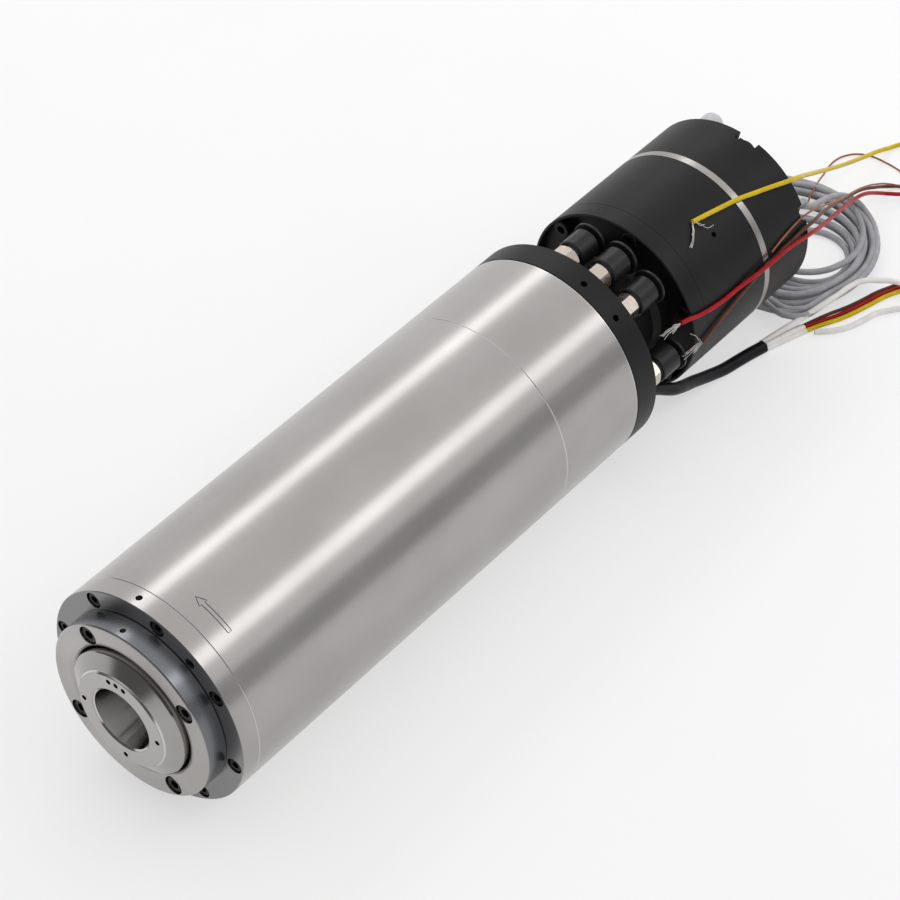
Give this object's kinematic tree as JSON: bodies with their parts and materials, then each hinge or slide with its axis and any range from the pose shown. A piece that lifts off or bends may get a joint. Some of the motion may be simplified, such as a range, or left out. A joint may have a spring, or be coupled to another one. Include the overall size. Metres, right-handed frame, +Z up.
{
  "type": "motor spindle",
  "caption": "Round-bodied motor spindle with a 7:24 taper nose, drawbar tool clamp, push-in tube fittings, rear release cylinder and free cable leads.",
  "frame": {"origin": "on the spindle axis, in the plane of the front face of the 110 mm clamped body", "axes": "X along the spindle axis with the nose towards -X, +Z up, the tube fittings on the upper side and towards -Y"},
  "size_m": [0.6057, 0.1405, 0.11],
  "materials": {
    "ground_steel": "ground, fine circular marks",
    "turned_steel": "fine turned",
    "dark_steel": "hardened and polished, dark",
    "bearing_steel": "polished",
    "spring_steel": "oiled spring steel",
    "blackened_screw": "black oxide",
    "lamination": "stacked sheets",
    "copper": "varnished copper wire",
    "jacket_aluminium": "turned",
    "plain_aluminium": "fine turned",
    "black_anodised": "black anodised, satin",
    "bronze": "sintered",
    "nickel": "nickel plated",
    "black_plastic": "moulded, satin",
    "grey_plastic": "porous grey",
    "seal_rubber": "matte",
    "black_jacket": "satin cable jacket",
    "grey_jacket": "satin cable jacket",
    "yellow_insulation": "smooth",
    "brown_insulation": "smooth",
    "red_insulation": "smooth",
    "white_insulation": "smooth",
    "core_insulation": "smooth"
  },
  "bodies": {
    "root": {"front_housing": "ground_steel", "front_cover": "turned_steel", "cover_screws": "blackened_screw", "housing_screws": "blackened_screw", "main_sleeve": "ground_steel", "cooling_jacket": "jacket_aluminium", "stator_core": "lamination", "stator_windings": "copper", "rear_housing": "ground_steel", "outer_rings": "bearing_steel", "outer_spacer": "turned_steel", "outer_ring_nut": "blackened_screw", "rear_flange": "black_anodised", "flange_screws": "blackened_screw", "port_hexes": "nickel", "port_bodies": "black_plastic", "blanking_plug": "black_plastic", "cable_gland": "black_plastic", "speed_sensor": "black_plastic", "release_neck": "black_anodised", "front_cap": "black_anodised", "cap_screws": "blackened_screw", "cylinder_barrel": "black_anodised", "cylinder_partition": "plain_aluminium", "end_plate": "plain_aluminium", "rear_cover": "black_anodised", "rear_screws": "blackened_screw", "rear_lid": "black_anodised", "air_elbow": "black_plastic", "silencer": "grey_plastic", "sensor_gland": "black_plastic", "rod_bushes": "bronze", "power_cable": "black_jacket", "yellow_lead": "yellow_insulation", "brown_lead": "brown_insulation", "red_lead": "red_insulation", "white_lead": "white_insulation", "sensor_cable": "grey_jacket", "sensor_coil": "grey_jacket", "sensor_core": "core_insulation"},
    "spindle": {"spindle_shaft": "dark_steel", "inner_rings": "bearing_steel", "bearing_balls": "bearing_steel", "inner_spacer": "turned_steel", "shaft_nuts": "blackened_screw", "rotor_core": "lamination", "sensor_ring": "blackened_screw", "disc_springs": "spring_steel"},
    "drawbar": {"drawbar": "bearing_steel"},
    "petal_1": {"petal_1": "bearing_steel"},
    "petal_2": {"petal_2": "bearing_steel"},
    "petal_3": {"petal_3": "bearing_steel"},
    "petal_4": {"petal_4": "bearing_steel"},
    "piston": {"piston_rod": "bearing_steel", "pistons": "plain_aluminium", "piston_seals": "seal_rubber"},
    "release_ring_1": {"ring_1": "black_plastic"},
    "release_ring_2": {"ring_2": "black_plastic"},
    "release_ring_3": {"ring_3": "black_plastic"},
    "release_ring_4": {"ring_4": "black_plastic"}
  },
  "joints": [
    {"name": "spindle_spin", "type": "hinge", "parent": "root", "child": "spindle", "pos_m": [0, 0, 0], "axis": [1, 0, 0], "continuous": true},
    {"name": "drawbar_slide", "type": "slide", "parent": "spindle", "child": "drawbar", "axis": [-1, 0, 0], "range_m": [0, 0.006], "deforming": ["disc_springs"]},
    {"name": "piston_slide", "type": "slide", "parent": "root", "child": "piston", "axis": [-1, 0, 0], "range_m": [0, 0.008]},
    {"name": "petal_1_hinge", "type": "hinge", "parent": "drawbar", "child": "petal_1", "pos_m": [0.064, 0.00396, 0.00396], "axis": [0, 0.7071, -0.7071], "range_deg": [0, 4.4]},
    {"name": "petal_2_hinge", "type": "hinge", "parent": "drawbar", "child": "petal_2", "pos_m": [0.064, -0.00396, 0.00396], "axis": [0, 0.7071, 0.7071], "range_deg": [0, 4.4]},
    {"name": "petal_3_hinge", "type": "hinge", "parent": "drawbar", "child": "petal_3", "pos_m": [0.064, -0.00396, -0.00396], "axis": [0, -0.7071, 0.7071], "range_deg": [0, 4.4]},
    {"name": "petal_4_hinge", "type": "hinge", "parent": "drawbar", "child": "petal_4", "pos_m": [0.064, 0.00396, -0.00396], "axis": [0, -0.7071, -0.7071], "range_deg": [0, 4.4]},
    {"name": "release_ring_1_slide", "type": "slide", "parent": "root", "child": "release_ring_1", "axis": [-1, 0, 0], "range_m": [0, 0.0011]},
    {"name": "release_ring_2_slide", "type": "slide", "parent": "root", "child": "release_ring_2", "axis": [-1, 0, 0], "range_m": [0, 0.0011]},
    {"name": "release_ring_3_slide", "type": "slide", "parent": "root", "child": "release_ring_3", "axis": [-1, 0, 0], "range_m": [0, 0.0011]},
    {"name": "release_ring_4_slide", "type": "slide", "parent": "root", "child": "release_ring_4", "axis": [-1, 0, 0], "range_m": [0, 0.0011]}
  ],
  "couplings": [
    {"joint": "drawbar_slide", "follows": "piston_slide", "ratio": 0.75},
    {"joint": "petal_1_hinge", "follows": "piston_slide", "rad_per_m": 9.4},
    {"joint": "petal_2_hinge", "follows": "piston_slide", "rad_per_m": 9.4},
    {"joint": "petal_3_hinge", "follows": "piston_slide", "rad_per_m": 9.4},
    {"joint": "petal_4_hinge", "follows": "piston_slide", "rad_per_m": 9.4}
  ]
}
